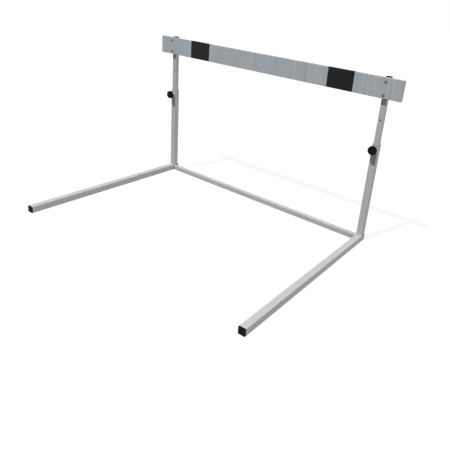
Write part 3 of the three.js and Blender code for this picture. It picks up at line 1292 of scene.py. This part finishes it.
@dataclass
class BoardFasteners(SubAssembly):
    """Button-head bolts through the board and the inner posts, with their washers and nuts."""

    zinc: Finish
    dark_coat_and_reflection: Finish
    thread: ScrewThread = ScrewThread(diameter=0.006, pitch=0.001, depth=0.00055)
    threaded_length: float = 0.02
    head_rim: float = 0.0008
    head_edge: float = 0.0002
    tail_chamfer: float = 0.0007
    socket_across: float = 0.004
    socket_depth: float = 0.002
    socket_point: float = 0.0006
    nut_bore: float = 0.0062
    washer_bore: float = 0.0066
    washer_edge: float = 0.0002
    dome_steps: int = 12
    points: int = 48

    def pieces(self) -> Iterator[Piece]:
        """Makes the fasteners.

        Yields:
            A bolt, a washer and a nut in each of the four places.
        """
        for place in (side.of(level.value) for side in Side for level in Level):
            for kind, make, finish in (
                # the bolts' dark coat is partly painted reflection: their dark colour stands in for
                # a mirrored dark surround
                ("bolt", self.bolt, self.dark_coat_and_reflection),
                ("washer", self.washer, self.zinc),
                ("nut", self.nut, self.zinc),
            ):
                node = f"{place}_{kind}"
                form = make(Room.of(node))
                yield Piece.of(node, "finished", form, finish, Body.CARRIAGE.value)

    def bolt(self, room: Room) -> Form:
        """Makes a bolt: chamfered tail, rolled thread, plain shank and domed head with a socket.

        Args:
            room: the bolt's space.

        Returns:
            The bolt as a form.
        """
        face = Room.of("crossboard").low.y
        head_height = face - room.low.y
        tail = -(room.high.y - face)
        head_radius = room.size.x / 2
        radius = self.thread.diameter / 2
        dome = [(radius, 0.0), (head_radius - self.head_edge, 0.0), (head_radius, self.head_edge)]
        for rise, reach in list(quarter_arc(self.dome_steps))[:-1]:
            z = self.head_rim + (head_height - self.head_rim) * rise
            dome.append((head_radius * reach, z))
        thread_start = tail + self.tail_chamfer
        rings = [
            Outline.circle(radius - self.tail_chamfer, tail, self.points),
            *self.thread.rings(thread_start, tail + self.threaded_length, self.points),
            *Outline.turned(dome, self.points),
            Outline.pole(head_height),
        ]
        floor = head_height - self.socket_depth
        socket = [
            Outline.pole(floor - self.socket_point),
            Outline.hexagon(self.socket_across, floor),
            Outline.hexagon(self.socket_across, head_height + self.socket_depth),
        ]
        axes = room.seat(Facing.FRONT, face)
        return Form().skin(rings, axes).carve(Form().skin(socket, axes), Carving.CUT)

    def washer(self, room: Room) -> Form:
        """Makes a washer, which lies between a post and a nut.

        Args:
            room: the washer's space.

        Returns:
            The washer as a form.
        """
        outer = room.size.x / 2
        inner = self.washer_bore / 2
        edge = self.washer_edge
        thickness = room.size.y
        profile = (
            (inner, 0.0),
            (outer - edge, 0.0),
            (outer, edge),
            (outer, thickness - edge),
            (outer - edge, thickness),
            (inner, thickness),
        )
        rings = Outline.turned(profile, self.points)
        return Form().skin(rings, room.seat(Facing.REAR, room.low.y), looped=True)

    def nut(self, room: Room) -> Form:
        """The hexagon nut on a bolt's tail, in its space."""
        nut = HexagonNut(room.size.z, room.size.y, self.nut_bore)
        return nut.form(room.seat(Facing.REAR, room.low.y))


@dataclass
class Clamp(SubAssembly):
    """Hand clamp on the front of an outer post: a weld nut, a threaded stud and a fluted knob."""

    side: Side
    paint: Finish
    zinc: Finish
    plastic: Finish
    thread: ScrewThread = ScrewThread(diameter=0.008, pitch=0.00125, depth=0.00065)
    nut_bore: float = 0.0082
    nut_bead: WeldBead = WeldBead(radius=0.0011, ripple=0.0016)
    nut_bead_points: int = 36
    tip_diameter: float = 0.006
    tip_length: float = 0.0025
    chamfer: float = 0.0008
    points: int = 48
    flutes: int = 18
    points_per_flute: int = 10
    flute_depth: float = 0.0008
    neck_diameter: float = 0.0145
    neck_length: float = 0.0095
    hub_diameter: float = 0.017
    back_edge: float = 0.001
    back_steps: int = 3
    shoulder: float = 0.0025
    shoulder_steps: int = 10
    face_diameter: float = 0.025
    face_recess: float = 0.0008
    face_roll: float = 0.0005
    face_rise_share: float = 0.25
    face_steps: int = 6
    skirt: float = 0.0024
    cavity_depth: float = 0.0065
    ribs: int = 6
    rib: float = 0.0018
    rib_corner: float = 0.000225
    rib_setback: float = 0.0015
    rib_sink: float = 0.00075
    stud_grip: float = 0.0153
    stud_slack: float = 0.0001625

    def pieces(self) -> Iterator[Piece]:
        """Makes the clamp's pieces.

        Yields:
            The weld nut and its bead on the post, then the stud, then the knob.
        """
        base = Body.BASE.value
        stud_body, knob_body = (self.side.of(body.value) for body in (Body.STUD, Body.KNOB))
        nut, stud, knob = (self.side.of(name) for name in ("weld_nut", "clamp_stud", "knob"))
        yield Piece.of(nut, "painted", self.nut(), self.paint, base)
        yield Piece(f"{nut}_bead", self.bead(), self.paint, base)
        yield Piece.of(stud, "zinced", self.stud(), self.zinc, stud_body)
        yield Piece.of(knob, "moulded", self.knob(), self.plastic, knob_body)

    def _seat(self, y: float) -> Matrix:
        """Axes on the clamp's centre line, pointing forward from a place along it."""
        return Room.of(self.side.of("weld_nut")).seat(Facing.FRONT, y)

    def nut(self) -> Form:
        """Makes the nut that is welded over the hole in the post's front wall.

        Returns:
            The nut as a form.
        """
        room = Room.of(self.side.of("weld_nut"))
        nut = HexagonNut(room.size.z, room.size.y, self.nut_bore)
        return nut.form(self._seat(room.high.y))

    def bead(self) -> Form:
        """Makes the bead round the foot of the weld nut.

        Returns:
            The bead as a form.
        """
        room = Room.of(self.side.of("weld_nut"))
        circle = Outline.circle(room.size.x / 2, 0, self.nut_bead_points)
        seat = self._seat(room.high.y)
        return self.nut_bead.form([seat @ point for point in circle], closed=True)

    def stud(self) -> Form:
        """Makes the stud: a dog tip, then a thread up to its far end in the knob.

        Returns:
            The stud as a form.
        """
        room = Room.of(self.side.of("clamp_stud"))
        length = room.size.y
        root = self.thread.diameter / 2 - self.thread.depth
        tip = self.tip_diameter / 2
        bevel = self.chamfer / 2
        dog = ((tip - bevel, 0.0), (tip, bevel), (tip, self.tip_length), (root, self.tip_length))
        thread_start = self.tip_length + self.chamfer
        rings = [
            *Outline.turned(dog, self.points),
            *self.thread.rings(thread_start, length - self.chamfer, self.points),
            Outline.circle(root, length, self.points),
        ]
        return Form().skin(rings, self._seat(room.high.y))

    def knob(self) -> Form:
        """Makes the knob: a neck, and a fluted head with a dished face and a hollow ribbed back.

        Returns:
            The knob as a form.
        """
        room = Room.of(self.side.of("knob"))
        radius = room.size.z / 2
        seat = self._seat(room.high.y)
        rings = [*self._back_rings(radius), *self._front_rings(radius, room.size.y)]
        form = Form().skin(rings, seat)
        for index in range(self.ribs):
            turn = Matrix.Rotation((index + 0.5) / self.ribs * FULL_TURN, 4, "Z")
            form.carve(self._rib(radius, seat @ turn), Carving.JOIN)
        return form

    def _circle(self, radius: float, z: float) -> Ring:
        """Round ring with as many points as the fluted rim."""
        return Outline.circle(radius, z, self.flutes * self.points_per_flute)

    def _fluted(self, radius: float, share: float, z: float) -> Ring:
        """Makes a ring with the grip's flutes.

        Args:
            radius: of the crests between the flutes.
            share: of the flutes' full depth.
            z: height of the ring.

        Returns:
            The ring's points.
        """
        ring = []
        for point in self._circle(1.0, z):
            angle = math.atan2(point.y, point.x)
            dip = (1 + math.cos(self.flutes * angle)) / 2
            reach = radius - share * self.flute_depth * dip
            ring.append(Vector((reach * point.x, reach * point.y, z)))
        return ring

    def _back_rings(self, radius: float) -> Iterator[Ring]:
        """Goes over the knob's back.

        Args:
            radius: of the knob.

        Yields:
            Rings from the stud's socket, up the neck and round the cavity to the skirt's edge.
        """
        bore = self.thread.diameter / 2 + self.stud_slack
        neck = self.neck_diameter / 2
        hub = self.hub_diameter / 2
        skirt = radius - self.skirt - self.flute_depth
        soft = self.back_edge / 2
        cavity_floor = self.neck_length + self.cavity_depth
        yield Outline.pole(self.stud_grip)
        for reach, z in (
            (bore, self.stud_grip),
            (bore, soft),
            (bore + soft, 0.0),
            (neck - soft, 0.0),
            (neck, soft),
            (hub, self.neck_length),
            (hub, cavity_floor - soft),
            (hub + soft, cavity_floor),
            (skirt - soft, cavity_floor),
            (skirt, cavity_floor - soft),
            (skirt, self.neck_length + soft / 2),
            (skirt + soft / 2, self.neck_length),
        ):
            yield self._circle(reach, z)

    def _front_rings(self, radius: float, thickness: float) -> Iterator[Ring]:
        """Goes over the knob's rim and face.

        Args:
            radius: of the knob.
            thickness: of the knob, from its neck's end to its face.

        Yields:
            Rings up the fluted rim, over the shoulder and across the dished face.
        """
        edge = self.back_edge
        for rise, reach in quarter_arc(self.back_steps):
            z = self.neck_length + edge * (1 - reach)
            yield self._fluted(radius - edge * (1 - rise), 1, z)
        for step, (rise, reach) in enumerate(quarter_arc(self.shoulder_steps)):
            z = thickness - self.shoulder * (1 - rise)
            share = 1 - step / self.shoulder_steps
            yield self._fluted(radius - self.shoulder * (1 - reach), share, z)
        lip = self.face_diameter / 2
        dish = lip - self.face_roll
        for step in range(self.face_steps + 1):
            share = step / self.face_steps
            z = thickness - self.face_recess * ease(share)
            yield self._circle(lip - self.face_roll * share, z)
        for step in range(1, self.face_steps):
            share = 1 - step / self.face_steps
            rise = self.face_recess * self.face_rise_share * (1 - share ** 2)
            yield self._circle(dish * share, thickness - self.face_recess + rise)
        yield Outline.pole(thickness - self.face_recess * (1 - self.face_rise_share))

    def _rib(self, radius: float, axes: Matrix) -> Form:
        """Makes one of the ribs that tie the hub to the skirt.

        Args:
            radius: of the knob.
            axes: the knob's own axes, turned so that +X points along the rib.

        Returns:
            The rib as a form.
        """
        start = self.hub_diameter / 2 - self.rib / 2
        stop = radius - self.skirt / 2 - self.flute_depth
        lowest = self.neck_length + self.rib_setback
        highest = self.neck_length + self.cavity_depth + self.rib_sink
        rings = [
            Outline.rectangle(stop - start, self.rib, self.rib_corner, z)
            for z in (lowest, highest)
        ]
        return Form().skin(rings, axes @ Matrix.Translation(((start + stop) / 2, 0, 0)))


@dataclass(frozen=True)
class Sun:
    """Studio lamp that is so far away that its light is the same everywhere."""

    name: str
    towards: Place
    level: float
    softness: float
    tint: Colour = WHITE

    def hang(self) -> None:
        """Hangs the lamp, turned so that it shines from its own direction."""
        lamp = bpy.data.lights.new(self.name, "SUN")
        lamp.energy = self.level
        lamp.angle = self.softness
        lamp.color = self.tint
        made = bpy.data.objects.new(self.name, lamp)
        made.rotation_mode = "QUATERNION"
        made.rotation_quaternion = Vector(self.towards).to_track_quat("Z", "Y")
        bpy.context.scene.collection.objects.link(made)


@dataclass(frozen=True)
class Studio:
    """Where the hurdle stands: a pale floor, soft lights and the camera."""

    floor_span: float = 60.0
    floor_corner: float = 1.0
    floor_tone: float = 0.255
    floor_shadow_tone: float = 0.14
    floor_glow: float = 0.875
    sky: Colour = (0.99, 0.99, 1.0)
    sky_level: float = 0.1
    suns: tuple[Sun, ...] = (
        Sun("key_light", towards=(-0.3, -1.0, 1.74), level=3.11, softness=math.radians(1.5)),
        Sun(
            "fill_light",
            towards=(1.0, 0.0, 0.3),
            level=1.64,
            softness=math.radians(60),
            tint=(1.0, 0.995, 1.05),
        ),
        Sun("top_light", towards=(0.0, 0.0, 1.0), level=0.64, softness=math.radians(60)),
    )
    eye: Place = (1.13912, -1.23338, 0.88238)
    aim: Place = (0.35177, 0.001, 0.30103)
    roll: float = math.radians(6.1396)
    lens: float = 37.167
    shift: Span = (-0.1187, -0.0974)

    def build(self) -> None:
        """Lays the floor, lights it and sets the camera up."""
        self.floor()
        self.world()
        for sun in self.suns:
            sun.hang()
        self.camera()

    @staticmethod
    def _choose(wiring: Wiring, output: str, lighting: Socket, seen: Socket) -> None:
        """Ends a tree in one shader for the rays that carry light and another for the view.

        Args:
            wiring: the tree.
            output: Blender's name of the tree's output node.
            lighting: shader for the rays that carry light.
            seen: shader for rays from the camera, a mirror or glass.
        """
        path = wiring.add("ShaderNodeLightPath")
        share = path.outputs["Is Camera Ray"]
        for name in ("Is Glossy Ray", "Is Transmission Ray"):
            either = wiring.add("ShaderNodeMath", share, path.outputs[name])
            either.operation = "MAXIMUM"
            share = either.outputs[0]
        chosen = wiring.add("ShaderNodeMixShader", share, lighting, seen)
        wiring.add(output, Surface=chosen.outputs[0])

    def floor(self) -> None:
        """Lays a wide pale floor that keeps the hurdle's shadow."""
        ring = Outline.square(self.floor_span, self.floor_corner, 0)
        form = Form()
        form.mesh.faces.new([form.mesh.verts.new(point) for point in ring])
        floor = form.shape("studio_floor")
        material = bpy.data.materials.new("studio_floor")
        material.use_nodes = True
        wiring = Wiring(material.node_tree)
        dull, pale = (
            wiring.add("ShaderNodeBsdfDiffuse", Color=wiring.opaque((tone,) * 3)).outputs[0]
            for tone in (self.floor_tone, self.floor_shadow_tone)
        )
        glow = wiring.add("ShaderNodeEmission", Strength=self.floor_glow).outputs[0]
        both = wiring.add("ShaderNodeAddShader", pale, glow).outputs[0]
        self._choose(wiring, "ShaderNodeOutputMaterial", dull, both)
        floor.data.materials.append(material)

    def world(self) -> None:
        """Makes the world white where it is seen, and an even soft light on the hurdle."""
        world = bpy.data.worlds.new("studio")
        world.use_nodes = True
        wiring = Wiring(world.node_tree)
        kind = "ShaderNodeBackground"
        soft = wiring.add(kind, Color=wiring.opaque(self.sky), Strength=self.sky_level)
        white = wiring.add(kind, Color=wiring.opaque(WHITE))
        self._choose(wiring, "ShaderNodeOutputWorld", soft.outputs[0], white.outputs[0])
        bpy.context.scene.world = world

    def camera(self) -> None:
        """Puts the camera where the picture was taken from, and frames it the same way."""
        lens = bpy.data.cameras.new("studio_camera")
        lens.lens = self.lens
        lens.shift_x, lens.shift_y = self.shift
        made = bpy.data.objects.new("studio_camera", lens)
        made.location = self.eye
        level = (Vector(self.aim) - Vector(self.eye)).to_track_quat("-Z", "Y")
        made.rotation_mode = "QUATERNION"
        made.rotation_quaternion = level @ Quaternion((0, 0, 1), self.roll)
        bpy.context.scene.collection.objects.link(made)
        bpy.context.scene.camera = made


def main() -> None:
    """Sets up the studio, then builds the hurdle one sub-assembly after another."""
    logging.basicConfig(level=logging.INFO, format="%(name)s: %(message)s")
    bpy.context.scene.view_settings.view_transform = "Standard"
    Studio().build()
    paint = PowderCoat()
    plastic = MouldedPlastic()
    zinc = ZincPlate()
    board_coat = StreakedCoat()
    film = StreakedCoat(
        slot=Slot.BLACK_FILM,
        colour=(0.0035, 0.0035, 0.0036),
        sheen=0.18,
        roughness=(0.45, 0.55),
    )
    assemblies: list[SubAssembly] = [
        Base(paint, plastic),
        Carriage(paint, board_coat, film, plastic),
        BoardFasteners(zinc, DarkCoatAndPaintedReflection()),
        *(Clamp(side, paint, zinc, plastic) for side in Side),
    ]
    for assembly in assemblies:
        assembly.build()


if __name__ == "__main__":
    main()
